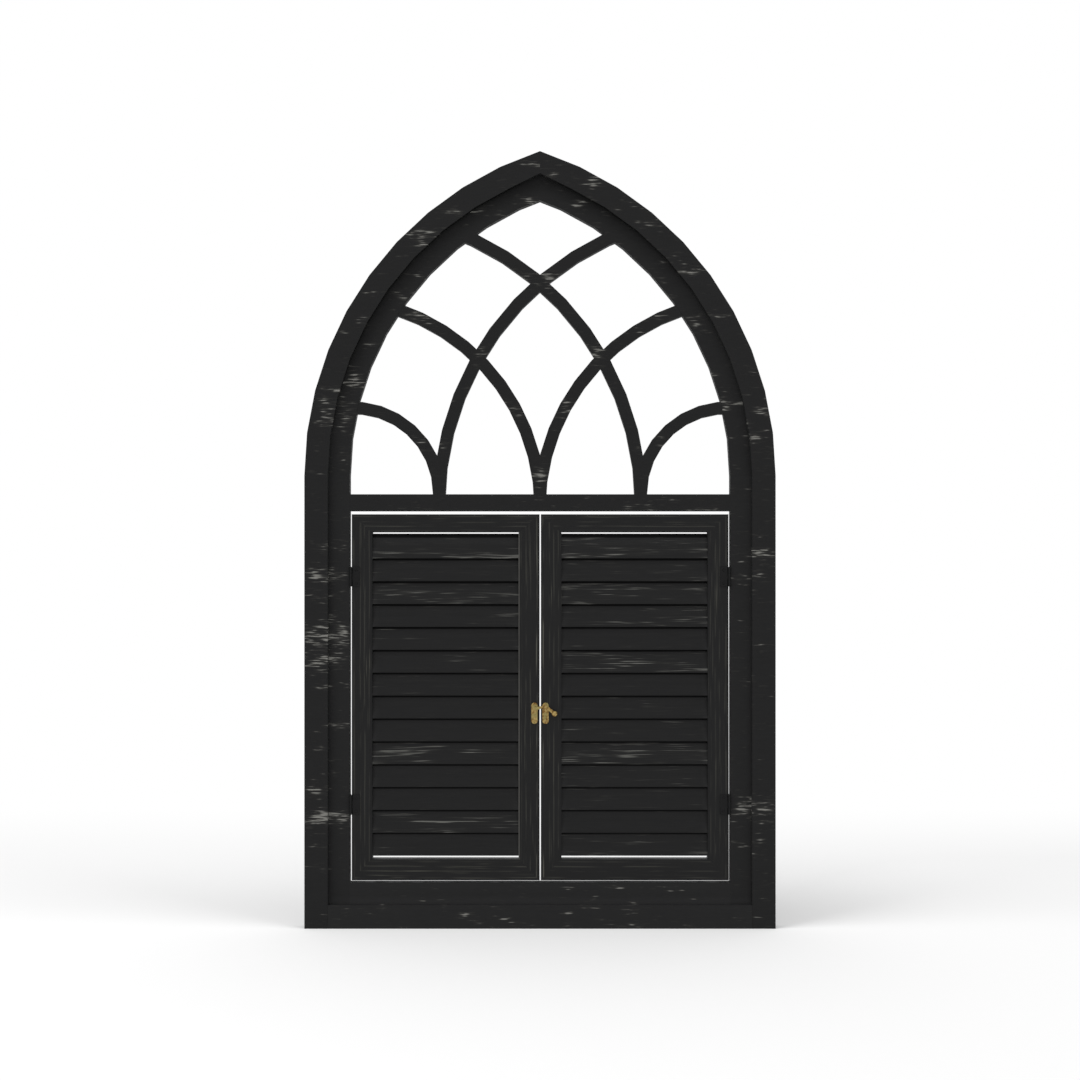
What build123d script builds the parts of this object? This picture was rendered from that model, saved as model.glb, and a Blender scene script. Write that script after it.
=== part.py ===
from build123d import *
from math import cos, radians, sin
import os

# Pointed window frame with intersecting tracery above a transom, and a pair of
# side-hung louvred shutter leaves below it, held shut by a small hook latch.
# Millimetres. X runs to the right and Z up. The wall is the plane Y = 0, and the
# frame stands out from it towards the viewer, who looks along +Y. The origin is
# on the wall plane, in the middle of the bottom rail.

# Outer frame
frame_width = 610.0
springing_height = 586.7
arch_sweep = 72.0
arch_facets = 10
board_width = 58.0
board_depth = 15.0
bottom_rail_height = 58.0
transom_drop = 24.2
transom_height = 22.1
casing_width = 30.4
casing_depth = 8.0

# Keyhole pockets in the back of the jambs, one a side, for a screw head in the wall
keyhole_drop = 60.0
keyhole_entry_radius = 5.0
keyhole_neck_radius = 2.5
keyhole_travel = 12.0
keyhole_lip = 3.0
keyhole_depth = 9.0

# Tracery bars that lean left: each rises plumb at its foot, on the level of its circle's
# centre, which lies a little below the top of the transom
tracery_bar_width = 16.0
short_bar_foot = -131.2
short_bar_radius = 111.8
short_bar_centre_drop = -0.8
short_bar_facet = 12.0
middle_bar_foot = 0.5
middle_bar_radius = 271.7
middle_bar_centre_drop = 17.3
long_bar_foot = 131.5
long_bar_radius = 380.7
long_bar_centre_drop = 13.0
long_bar_facet = 7.2

# Shutter leaves
leaf_depth = 15.0
leaf_side_gap = 2.5
leaf_top_gap = 3.9
leaf_bottom_gap = 3.3
meeting_gap = 2.3
stile_width = 25.4
leaf_top_rail_width = 23.5
leaf_bottom_rail_width = 27.2
leaf_arris = 1.0

# Louvres
louvre_pitch = 29.72
louvre_width = 32.0
louvre_thickness = 5.0
louvre_tilt = 14.0
louvre_arris = 0.8
louvre_housing = 8.0
lowest_louvre_clearance = 4.3

# Butt hinges
hinge_length = 25.4
hinge_plate_thickness = 1.0
jamb_plate_reach = 11.0
stile_plate_reach = 11.9
knuckle_radius = 1.9
knuckle_gap = 0.2
knuckle_relief = 0.3
pin_radius = 0.9
pin_clearance = 0.05
hinge_standoff = 1.6
upper_hinge_drop = 81.0
lower_hinge_rise = 98.2

# Hook latch
latch_drop = 20.7
latch_plate_width = 8.2
latch_plate_length = 27.6
latch_plate_thickness = 1.0
latch_plate_inset = 1.95
hook_pivot_rise = 9.3
hook_thickness = 1.8
hook_lift = 0.3
hook_boss_radius = 2.6
hook_arm_width = 2.4
hook_tail_width = 3.8
hook_tail_length = 15.2
hook_tail_angle = -40.0
hook_ball_radius = 3.75
hook_ball_thickness = 4.4
rivet_radius = 1.0
rivet_clearance = 0.05
rivet_head_radius = 2.0
rivet_head_thickness = 0.7
rivet_head_gap = 0.2
stud_radius = 1.0
stud_standout = 1.3
stud_from_edge = 4.0
stud_rise = 9.4
curl_radius = 3.3
curl_tip_length = 1.2

# Places worked out from the sizes above
foot_z = -bottom_rail_height / 2
springing_z = foot_z + springing_height
rail_top_z = foot_z + bottom_rail_height
transom_top_z = springing_z - transom_drop
transom_underside_z = transom_top_z - transom_height
half_width = frame_width / 2
opening_half = half_width - board_width
arch_radius = half_width / (1 - cos(radians(arch_sweep)))
arch_centre_x = arch_radius - half_width
leaf_hinge_x = -(opening_half - leaf_side_gap)
leaf_meeting_x = -meeting_gap / 2
leaf_bottom_z = rail_top_z + leaf_bottom_gap
leaf_top_z = transom_underside_z - leaf_top_gap
leaf_front = board_depth
pin_x = -(opening_half - leaf_side_gap / 2)
pin_y = -(leaf_front + hinge_standoff)


# Shapes drawn in X and Z and given a depth towards the viewer
def prism(outline, depth, front=0.0):
    return extrude(Plane.XZ.offset(front) * outline, amount=depth, dir=(0, -1, 0))


def polygon(*points):
    return Polygon(*points, align=None)


def block(x0, x1, z0, z1, depth, front=0.0):
    return prism(polygon((x0, z0), (x1, z0), (x1, z1), (x0, z1)), depth, front)


def disc(x, z, radius, depth, front):
    return prism(Pos(x, z) * Circle(radius), depth, front)


def on_circle(centre_x, centre_z, radius, angles):
    return [(centre_x + radius * cos(radians(a)), centre_z + radius * sin(radians(a))) for a in angles]


def keyhole():
    x = -(half_width + opening_half) / 2
    z = springing_z - keyhole_drop
    slot_middle = Pos(x, z + keyhole_travel / 2) * Rot(0, 0, 90)
    pocket = disc(x, z, keyhole_entry_radius, keyhole_depth, 0)
    pocket += prism(slot_middle * SlotCenterToCenter(keyhole_travel, 2 * keyhole_neck_radius), keyhole_depth)
    head_channel = SlotCenterToCenter(keyhole_travel, 2 * keyhole_entry_radius)
    return pocket + prism(slot_middle * head_channel, keyhole_depth - keyhole_lip, keyhole_lip)


def jamb():
    return block(-half_width, -opening_half, foot_z, springing_z, board_depth) - keyhole()


# Arch: straight facets between points on a circle, up to the point over the middle
def arch_angles():
    step = arch_sweep / arch_facets
    return [180 - step * i for i in range(arch_facets + 1)]


def left_half():
    reach = frame_width + springing_height
    return polygon((-reach, -reach), (0, -reach), (0, reach), (-reach, reach))


def left_arch_ring(width):
    outer = on_circle(arch_centre_x, springing_z, arch_radius, arch_angles())
    inner = on_circle(arch_centre_x, springing_z, arch_radius - width, arch_angles())
    return polygon(*outer, *reversed(inner)) & left_half()


def tracery_light():
    inner = on_circle(arch_centre_x, springing_z, arch_radius - board_width, arch_angles())
    last_x = inner[-1][0]
    left = polygon(*inner, (last_x, transom_top_z), (-opening_half, transom_top_z)) & left_half()
    return left + mirror(left, about=Plane.YZ)


# Tracery: each bar leans to the left as it rises, and its mirror image leans to the right
def leaning_bar(foot_x, radius, centre_drop, facet):
    angles = [facet * i for i in range(-1, round(90 / facet) + 1)]
    centre_x = foot_x - radius
    centre_z = transom_top_z - centre_drop
    outer = on_circle(centre_x, centre_z, radius + tracery_bar_width / 2, angles)
    inner = on_circle(centre_x, centre_z, radius - tracery_bar_width / 2, angles)
    return polygon(*outer, *reversed(inner))


def tracery():
    leaning = leaning_bar(short_bar_foot, short_bar_radius, short_bar_centre_drop, short_bar_facet)
    leaning += leaning_bar(middle_bar_foot, middle_bar_radius, middle_bar_centre_drop, long_bar_facet)
    leaning += leaning_bar(long_bar_foot, long_bar_radius, long_bar_centre_drop, long_bar_facet)
    bars = leaning + mirror(leaning, about=Plane.YZ)
    return prism(bars & tracery_light(), board_depth)


# Shutter leaf, drawn as the left one: four mitred members round the louvres
def leaf_member(outline, long_axis):
    member = prism(outline, leaf_depth, leaf_front - leaf_depth)
    front_edges = member.edges().filter_by(long_axis).group_by(Axis.Y)[0]
    return chamfer(front_edges, leaf_arris)


def leaf_inner_corners():
    x0 = leaf_hinge_x + stile_width
    x1 = leaf_meeting_x - stile_width
    z0 = leaf_bottom_z + leaf_bottom_rail_width
    z1 = leaf_top_z - leaf_top_rail_width
    return x0, x1, z0, z1


def louvres():
    x0, x1, z0, z1 = leaf_inner_corners()
    length = x1 - x0 + 2 * louvre_housing
    tilt = radians(louvre_tilt)
    rise = louvre_width * cos(tilt) + louvre_thickness * sin(tilt)
    first_z = z0 + lowest_louvre_clearance + rise / 2
    count = int((z1 - first_z - rise / 2) / louvre_pitch) + 1
    slat = Box(length, louvre_thickness, louvre_width)
    slat = Rot(-louvre_tilt, 0, 0) * chamfer(slat.edges().filter_by(Axis.X), louvre_arris)
    middle_y = -(leaf_front - leaf_depth / 2)
    return Part() + [Pos((x0 + x1) / 2, middle_y, first_z + louvre_pitch * i) * slat for i in range(count)]


def hinge_stile():
    x0, x1, z0, z1 = leaf_inner_corners()
    outline = polygon((leaf_hinge_x, leaf_bottom_z), (x0, z0), (x0, z1), (leaf_hinge_x, leaf_top_z))
    return leaf_member(outline, Axis.Z) - louvres()


def meeting_stile():
    x0, x1, z0, z1 = leaf_inner_corners()
    outline = polygon((x1, z0), (leaf_meeting_x, leaf_bottom_z), (leaf_meeting_x, leaf_top_z), (x1, z1))
    return leaf_member(outline, Axis.Z) - louvres()


def leaf_top_rail():
    x0, x1, z0, z1 = leaf_inner_corners()
    outline = polygon((x0, z1), (x1, z1), (leaf_meeting_x, leaf_top_z), (leaf_hinge_x, leaf_top_z))
    return leaf_member(outline, Axis.X)


def leaf_bottom_rail():
    x0, x1, z0, z1 = leaf_inner_corners()
    outline = polygon((leaf_hinge_x, leaf_bottom_z), (leaf_meeting_x, leaf_bottom_z), (x1, z0), (x0, z0))
    return leaf_member(outline, Axis.X)


# Hinges, drawn about the pin: +X towards the leaf, +Y towards the wall
def cuboid(x0, x1, y0, y1, z0, z1):
    size = (x1 - x0, y1 - y0, z1 - z0)
    return Pos(x0, y0, z0) * Box(*size, align=(Align.MIN, Align.MIN, Align.MIN))


def knuckle(z0, z1):
    barrel = Cylinder(knuckle_radius, z1 - z0) - Cylinder(pin_radius + pin_clearance, z1 - z0)
    return Pos(0, 0, (z0 + z1) / 2) * barrel


def pin_hole():
    return Cylinder(pin_radius + pin_clearance, 2 * hinge_length)


def jamb_plate():
    half = hinge_length / 2
    split_z = hinge_length / 6 + knuckle_gap / 2
    back_x = -leaf_side_gap / 2
    front_x = back_x + hinge_plate_thickness
    neck = knuckle_radius + knuckle_relief
    plate = cuboid(back_x, front_x, neck, jamb_plate_reach, -half, half)
    for z0, z1 in ((-half, -split_z), (split_z, half)):
        plate += cuboid(back_x, front_x, 0, neck, z0, z1)
        plate += knuckle(z0, z1)
    return plate - pin_hole()


def stile_plate():
    half = hinge_length / 2
    split_z = hinge_length / 6 - knuckle_gap / 2
    back_y = hinge_standoff
    front_y = back_y - hinge_plate_thickness
    neck = knuckle_radius + knuckle_relief
    plate = cuboid(neck, stile_plate_reach, front_y, back_y, -half, half)
    plate += cuboid(0, neck, front_y, back_y, -split_z, split_z)
    plate += knuckle(-split_z, split_z)
    return plate - pin_hole()


def hinge_pin():
    return Cylinder(pin_radius, hinge_length)


# Hook latch: a plate on each meeting stile, a stud on the left one, a swinging hook on the right one
def latch_plate_centre():
    x = meeting_gap / 2 + latch_plate_inset + latch_plate_width / 2
    return x, (leaf_bottom_z + leaf_top_z) / 2 - latch_drop


def latch_backplate(x, z):
    outline = Pos(x, z) * Rot(0, 0, 90) * SlotOverall(latch_plate_length, latch_plate_width)
    return prism(outline, latch_plate_thickness, leaf_front)


def stud_centre():
    return -(meeting_gap / 2 + stud_from_edge), latch_plate_centre()[1] + stud_rise


def keeper_stud():
    return disc(*stud_centre(), stud_radius, stud_standout, leaf_front + latch_plate_thickness)


def hook_pivot():
    x, z = latch_plate_centre()
    return x, z + hook_pivot_rise


def hook_front():
    return leaf_front + latch_plate_thickness + hook_lift + hook_thickness


def bar_between(start, end, width):
    run = Line(start, end)
    middle = run @ 0.5
    tangent = run % 0
    turn = Vector(1, 0, 0).get_signed_angle(tangent, Vector(0, 0, 1))
    return Pos(middle.X, middle.Y) * Rot(0, 0, turn) * SlotCenterToCenter(run.length, width)


def hook_outline():
    pivot = hook_pivot()
    stud_x, stud_z = stud_centre()
    tail_end = on_circle(*pivot, hook_tail_length, [hook_tail_angle])[0]
    half_arm = hook_arm_width / 2
    ring = Circle(curl_radius + half_arm) - Circle(curl_radius - half_arm)
    reach = curl_radius + hook_arm_width
    quarter = ring & polygon((-reach, -reach), (0, -reach), (0, 0), (-reach, 0))
    outline = Pos(*pivot) * Circle(hook_boss_radius)
    outline += bar_between(pivot, tail_end, hook_tail_width)
    outline += bar_between(pivot, (stud_x, stud_z - curl_radius), hook_arm_width)
    outline += Pos(stud_x, stud_z) * quarter
    tip_x = stud_x - curl_radius
    outline += bar_between((tip_x, stud_z), (tip_x, stud_z + curl_tip_length), hook_arm_width)
    return outline


def latch_hook():
    pivot = hook_pivot()
    front = hook_front()
    hook = prism(hook_outline(), hook_thickness, front - hook_thickness)
    ball_x, ball_z = on_circle(*pivot, hook_tail_length, [hook_tail_angle])[0]
    ball_y = -(leaf_front + hook_lift + hook_ball_thickness / 2)
    slab = Box(2 * hook_ball_radius, hook_ball_thickness, 2 * hook_ball_radius)
    hook += Pos(ball_x, ball_y, ball_z) * (Sphere(hook_ball_radius) & slab)
    return hook - disc(*pivot, rivet_radius + rivet_clearance, 2 * front, 0)


def latch_rivet():
    pivot = hook_pivot()
    plate_front = leaf_front + latch_plate_thickness
    head_back = hook_front() + rivet_head_gap
    shank = disc(*pivot, rivet_radius, head_back - plate_front, plate_front)
    return shank + disc(*pivot, rivet_head_radius, rivet_head_thickness, head_back)


def save(name, part):
    export_step(part, os.path.join("parts", name + ".step"))


def save_pair(name, left_part):
    save("left_" + name, left_part)
    save("right_" + name, mirror(left_part, about=Plane.YZ))


def save_frame():
    casing_front = board_depth
    casing_inner = half_width - casing_width
    save_pair("jamb", jamb())
    save_pair("arch_board", prism(left_arch_ring(board_width), board_depth))
    save("bottom_rail", block(-opening_half, opening_half, foot_z, rail_top_z, board_depth))
    save("transom", block(-opening_half, opening_half, transom_underside_z, transom_top_z, board_depth))
    save("tracery", tracery())
    save_pair("casing", block(-half_width, -casing_inner, foot_z, springing_z, casing_depth, casing_front))
    save_pair("arch_casing", prism(left_arch_ring(casing_width), casing_depth, casing_front))
    casing_top_z = foot_z + casing_width
    save("bottom_casing", block(-casing_inner, casing_inner, foot_z, casing_top_z, casing_depth, casing_front))


def save_leaves():
    save_pair("hinge_stile", hinge_stile())
    save_pair("meeting_stile", meeting_stile())
    save_pair("leaf_top_rail", leaf_top_rail())
    save_pair("leaf_bottom_rail", leaf_bottom_rail())
    save_pair("louvres", louvres())


def save_hinges():
    heights = {"upper": leaf_top_z - upper_hinge_drop, "lower": leaf_bottom_z + lower_hinge_rise}
    for place, z in heights.items():
        at_pin = Pos(pin_x, pin_y, z)
        save_pair(place + "_hinge_jamb_plate", at_pin * jamb_plate())
        save_pair(place + "_hinge_stile_plate", at_pin * stile_plate())
        save_pair(place + "_hinge_pin", at_pin * hinge_pin())


def save_latch():
    x, z = latch_plate_centre()
    save("keeper_plate", latch_backplate(-x, z))
    save("keeper_stud", keeper_stud())
    save("latch_plate", latch_backplate(x, z))
    save("latch_rivet", latch_rivet())
    save("latch_hook", latch_hook())


os.makedirs("parts", exist_ok=True)
save_frame()
save_leaves()
save_hinges()
save_latch()
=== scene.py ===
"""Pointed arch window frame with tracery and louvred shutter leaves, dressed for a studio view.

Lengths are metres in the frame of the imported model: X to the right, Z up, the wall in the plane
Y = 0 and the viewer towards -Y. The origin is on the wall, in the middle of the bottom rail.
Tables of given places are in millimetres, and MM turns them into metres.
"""
import logging
from dataclasses import dataclass
from enum import Enum
from math import cos, pi, radians, sin
from typing import Callable, Dict, Iterable, List, Optional, Sequence, Tuple, Union

import bmesh
import bpy
from mathutils import Matrix, Vector
from mathutils.bvhtree import BVHTree


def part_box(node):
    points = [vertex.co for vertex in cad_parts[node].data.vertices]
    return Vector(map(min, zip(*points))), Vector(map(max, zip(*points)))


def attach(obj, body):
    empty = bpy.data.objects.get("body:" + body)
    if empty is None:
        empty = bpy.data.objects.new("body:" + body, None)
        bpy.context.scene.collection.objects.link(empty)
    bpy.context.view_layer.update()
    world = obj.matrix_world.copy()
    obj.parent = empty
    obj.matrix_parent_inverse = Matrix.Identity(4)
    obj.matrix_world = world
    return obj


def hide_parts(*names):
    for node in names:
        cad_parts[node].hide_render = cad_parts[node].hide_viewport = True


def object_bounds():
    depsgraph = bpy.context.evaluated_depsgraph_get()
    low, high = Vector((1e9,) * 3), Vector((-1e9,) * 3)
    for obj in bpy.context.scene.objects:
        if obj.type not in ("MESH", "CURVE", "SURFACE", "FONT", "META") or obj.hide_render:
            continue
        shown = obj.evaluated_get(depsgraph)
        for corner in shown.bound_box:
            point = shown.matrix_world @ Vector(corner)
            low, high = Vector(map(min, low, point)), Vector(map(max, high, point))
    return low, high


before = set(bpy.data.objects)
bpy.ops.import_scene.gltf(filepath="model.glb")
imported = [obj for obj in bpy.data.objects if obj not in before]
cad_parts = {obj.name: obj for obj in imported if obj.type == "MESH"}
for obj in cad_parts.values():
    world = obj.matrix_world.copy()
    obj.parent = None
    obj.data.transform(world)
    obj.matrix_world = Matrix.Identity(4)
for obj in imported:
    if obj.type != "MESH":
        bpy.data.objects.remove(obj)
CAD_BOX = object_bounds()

LOG = logging.getLogger("window")
MM = 0.001

Socket = bpy.types.NodeSocket
Value = Union[float, str, Sequence[float], Socket]
Colour = Tuple[float, float, float]
Span = Tuple[float, float]

# Linear RGB: the paint, the wood under it on the boards, on the leaf members and on the louvres, the light
# line on the left meeting stile, thin paint round a rubbed place, and the painted shade between two louvres
PAINT: Colour = (0.0111, 0.0111, 0.0113)
BARE_WOOD: Colour = (0.280, 0.276, 0.255)
OLIVE_WOOD: Colour = (0.160, 0.158, 0.130)
GREY_WOOD: Colour = (0.260, 0.260, 0.240)
PALE_EDGE_LINE: Colour = (0.072, 0.070, 0.065)
HAZE: Colour = (0.043, 0.042, 0.038)
CREVICE_SHADE: Colour = (0.0040, 0.0040, 0.0040)

# The paint's specular level, its roughness where a pattern is low and where it is high, and the strength and
# the height in metres of its relief
PAINT_SPECULAR = 0.13
PAINT_ROUGHNESS: Span = (0.52, 0.66)
PAINT_RELIEF: Span = (0.35, 0.2 * MM)

# The front of the raised casings, and how near a point of a mesh counts as lying on a line, in metres
CASING_FRONT = -23.0 * MM
ON_LINE = 0.01 * MM


class Grain(Enum):
    """The way the grain and the strokes of wear run on a piece."""

    ALONG_X = "along_x"
    ALONG_Z = "along_z"


class Side(Enum):
    """Left and right as the viewer sees them, with the sign of X."""

    LEFT = -1
    RIGHT = 1

    @property
    def word(self) -> str:
        """The side's name as the CAD nodes write it."""
        return self.name.lower()


class Body(Enum):
    """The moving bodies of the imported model."""

    FRAME = "frame"
    LEFT_LEAF = "left_leaf"
    RIGHT_LEAF = "right_leaf"
    HOOK = "latch_hook_body"

    @staticmethod
    def leaf(side: Side) -> "Body":
        """Find the shutter leaf on one side."""
        return Body.LEFT_LEAF if side is Side.LEFT else Body.RIGHT_LEAF


class Slot(Enum):
    """The material slots of the record."""
    # Names of material slots.

    FRAME_WOOD = "frame_wood"
    TRACERY_WOOD = "tracery_wood"
    LEAF_WOOD = "leaf_wood"
    LOUVRE_WOOD = "louvre_wood"
    HINGE_METAL = "hinge_metal"
    ANTIQUE_BRASS = "antique_brass"


class NodeTree:
    """What the trees of materials and those of repeated shapes have in common."""

    def __init__(self, tree: bpy.types.NodeTree) -> None:
        """Work on one of Blender's own trees."""
        self.nodes, self.links = tree.nodes, tree.links

    def feed(self, socket: Socket, value: Value) -> None:
        """Give an input socket a link or a plain value.

        Args:
            socket: The input.
            value: Another node's output, or a value for the socket itself; a colour may have three parts.
        """
        if isinstance(value, bpy.types.NodeSocket):
            self.links.new(value, socket)
        elif isinstance(value, (int, float, str)) or len(socket.default_value) == len(value):
            socket.default_value = value
        else:
            socket.default_value = (*value, 1.0)

    def add(self, kind: str, *values: Value, **settings: object) -> bpy.types.Node:
        """Add a node.

        Args:
            kind: The node's Blender type.
            values: What its inputs get, in their order.
            settings: Properties to set on it before that.

        Returns:
            The new node.
        """
        node = self.nodes.new(kind)
        for key, value in settings.items():
            setattr(node, key, value)
        for socket, value in zip(node.inputs, values):
            self.feed(socket, value)
        return node

    def maths(self, operation: str, *values: Value) -> Socket:
        """Work out one number from others."""
        return self.add("ShaderNodeMath", *values, operation=operation).outputs[0]

    def join(self, x: Value = 0.0, y: Value = 0.0, z: Value = 0.0) -> Socket:
        """Put a vector together."""
        return self.add("ShaderNodeCombineXYZ", x, y, z).outputs[0]


class ShaderTree(NodeTree):
    """One material's node tree, with a short call for each kind of node that the finishes need."""

    def __init__(self, name: str) -> None:
        """Start an empty material.

        Args:
            name: The material's name.
        """
        self.material = bpy.data.materials.new(name)
        self.material.use_nodes = True
        super().__init__(self.material.node_tree)
        self.nodes.clear()
        self.output = self.add("ShaderNodeOutputMaterial")

    def place(self) -> Socket:
        """Read the place on the object, in metres."""
        return self.add("ShaderNodeTexCoord").outputs["Object"]

    def attribute(self, name: str) -> bpy.types.Node:
        """Read an attribute stored on the mesh, from the node's outputs Vector and Fac."""
        return self.add("ShaderNodeAttribute", attribute_name=name)

    def vector(self, operation: str, *values: Value) -> Socket:
        """Work out a vector, or a number for LENGTH, from others."""
        node = self.add("ShaderNodeVectorMath", *values, operation=operation)
        return node.outputs["Value" if operation == "LENGTH" else "Vector"]

    def split(self, vector: Value) -> Tuple[Socket, Socket, Socket]:
        """Take a vector apart into X, Y and Z."""
        return tuple(self.add("ShaderNodeSeparateXYZ", vector).outputs)

    def noise(self, vector: Value, detail: float = 1.0, roughness: float = 0.5) -> Socket:
        """Sample smooth noise with features about one unit across.

        Args:
            vector: Where, already scaled.
            detail: The number of finer layers.
            roughness: How much the finer layers count.

        Returns:
            A number around 0.5.
        """
        node = self.add("ShaderNodeTexNoise")
        for name, value in (("Vector", vector), ("Scale", 1.0), ("Detail", detail), ("Roughness", roughness)):
            self.feed(node.inputs[name], value)
        return node.outputs["Fac"]

    def stretched(self, place: Value, scale: Sequence[float], shift: Value, **noise: float) -> Socket:
        """Sample noise, given its features per metre along each axis and a shift that makes pieces differ."""
        return self.noise(self.vector("MULTIPLY_ADD", place, scale, shift), **noise)

    def smooth(self, value: Value, low: float, high: float, bottom: float = 0.0, top: float = 1.0) -> Socket:
        """Ease from bottom to top while a value goes from low to high."""
        return self.add("ShaderNodeMapRange", value, low, high, bottom, top,
                        interpolation_type="SMOOTHSTEP").outputs[0]

    def mix(self, share: Value, first: Value, second: Value) -> Socket:
        """Mix two colours.

        Args:
            share: The second colour's share.
            first: The first colour.
            second: The second colour.

        Returns:
            The mixed colour.
        """
        node = self.add("ShaderNodeMix", data_type="RGBA")
        for index, value in ((0, share), (6, first), (7, second)):
            self.feed(node.inputs[index], value)
        return node.outputs[2]

    def bump(self, height: Value, strength: float, distance: float) -> Socket:
        """Turn a height into a normal.

        Args:
            height: The height, from 0 to 1.
            strength: The share of the bump that shows.
            distance: The height in metres that 1 stands for.

        Returns:
            The normal.
        """
        node = self.add("ShaderNodeBump")
        for name, value in (("Strength", strength), ("Distance", distance), ("Height", height)):
            self.feed(node.inputs[name], value)
        return node.outputs["Normal"]

    def scaled(self, colour: Colour, *factors: Value) -> Socket:
        """Multiply a colour by some numbers.

        Args:
            colour: The colour.
            factors: The numbers.

        Returns:
            The product.
        """
        total: Value = 1.0
        for factor in factors:
            total = self.maths("MULTIPLY", total, factor)
        return self.vector("MULTIPLY", colour, self.join(total, total, total))

    def surface(self, **inputs: Value) -> bpy.types.Material:
        """Finish the material with one principled surface.

        Args:
            inputs: Its inputs, with underscores for the spaces in their names.

        Returns:
            The material.
        """
        node = self.add("ShaderNodeBsdfPrincipled")
        for name, value in inputs.items():
            self.feed(node.inputs[name.replace("_", " ")], value)
        self.feed(self.output.inputs["Surface"], node.outputs[0])
        return self.material

    def painted(self, colour: Socket, pattern: Socket, height: Socket,
                roughness: Span = PAINT_ROUGHNESS) -> bpy.types.Material:
        """Finish the material as brushed paint.

        Args:
            colour: The paint's colour.
            pattern: What its roughness follows.
            height: Its relief.
            roughness: The roughness where the pattern is low and where it is high.

        Returns:
            The material.
        """
        return self.surface(
            Base_Color=colour,
            Roughness=self.smooth(pattern, 0.3, 0.7, *roughness),
            Specular_IOR_Level=PAINT_SPECULAR,
            Normal=self.bump(height, *PAINT_RELIEF),
        )


@dataclass(frozen=True)
class Scuff:
    """A patch where the paint is rubbed, in millimetres.

    Attributes:
        x: The patch's middle.
        z: The patch's middle.
        half_width: How far it reaches along X.
        half_height: How far it reaches along Z.
        strength: How dense the strokes are: 0.4 is a trace, and 1.3 is the most.
    """

    x: float
    z: float
    half_width: float
    half_height: float
    strength: float = 1.0


@dataclass(frozen=True)
class Rim:
    """A strip of a board beside the edge of a raised casing, with painted light or painted shade on its paint.

    Attributes:
        first: One side of the strip, in metres: X, Z or the distance from the centre.
        last: The other side of the strip.
        gains: The factor on the paint's colour at the first side and at the last one.
        grain: The way the edge runs, where it is straight.
        centre: X and Z of the centre of the arc that the edge follows, if it isn't straight.
        rise: The heights between which the strip comes in, if it follows an arc.
    """

    first: float
    last: float
    gains: Span
    grain: Grain = Grain.ALONG_X
    centre: Optional[Span] = None
    rise: Span = (0.0, 0.0)

    def gain(self, tree: ShaderTree, place: Socket) -> Socket:
        """Give the factor on the paint's colour.

        Args:
            tree: The material's tree.
            place: The object coordinates.

        Returns:
            The factor.
        """
        x, _, z = tree.split(place)
        if self.centre is None:
            return tree.smooth(z if self.grain is Grain.ALONG_X else x, self.first, self.last, *self.gains)
        shift = (-self.centre[0], 0.0, -self.centre[1])
        across = tree.vector("LENGTH", tree.vector("MULTIPLY_ADD", place, (1.0, 0.0, 1.0), shift))
        change = tree.smooth(across, self.first, self.last, *(gain - 1.0 for gain in self.gains))
        return tree.maths("MULTIPLY_ADD", change, tree.smooth(z, *self.rise), 1.0)


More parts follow.
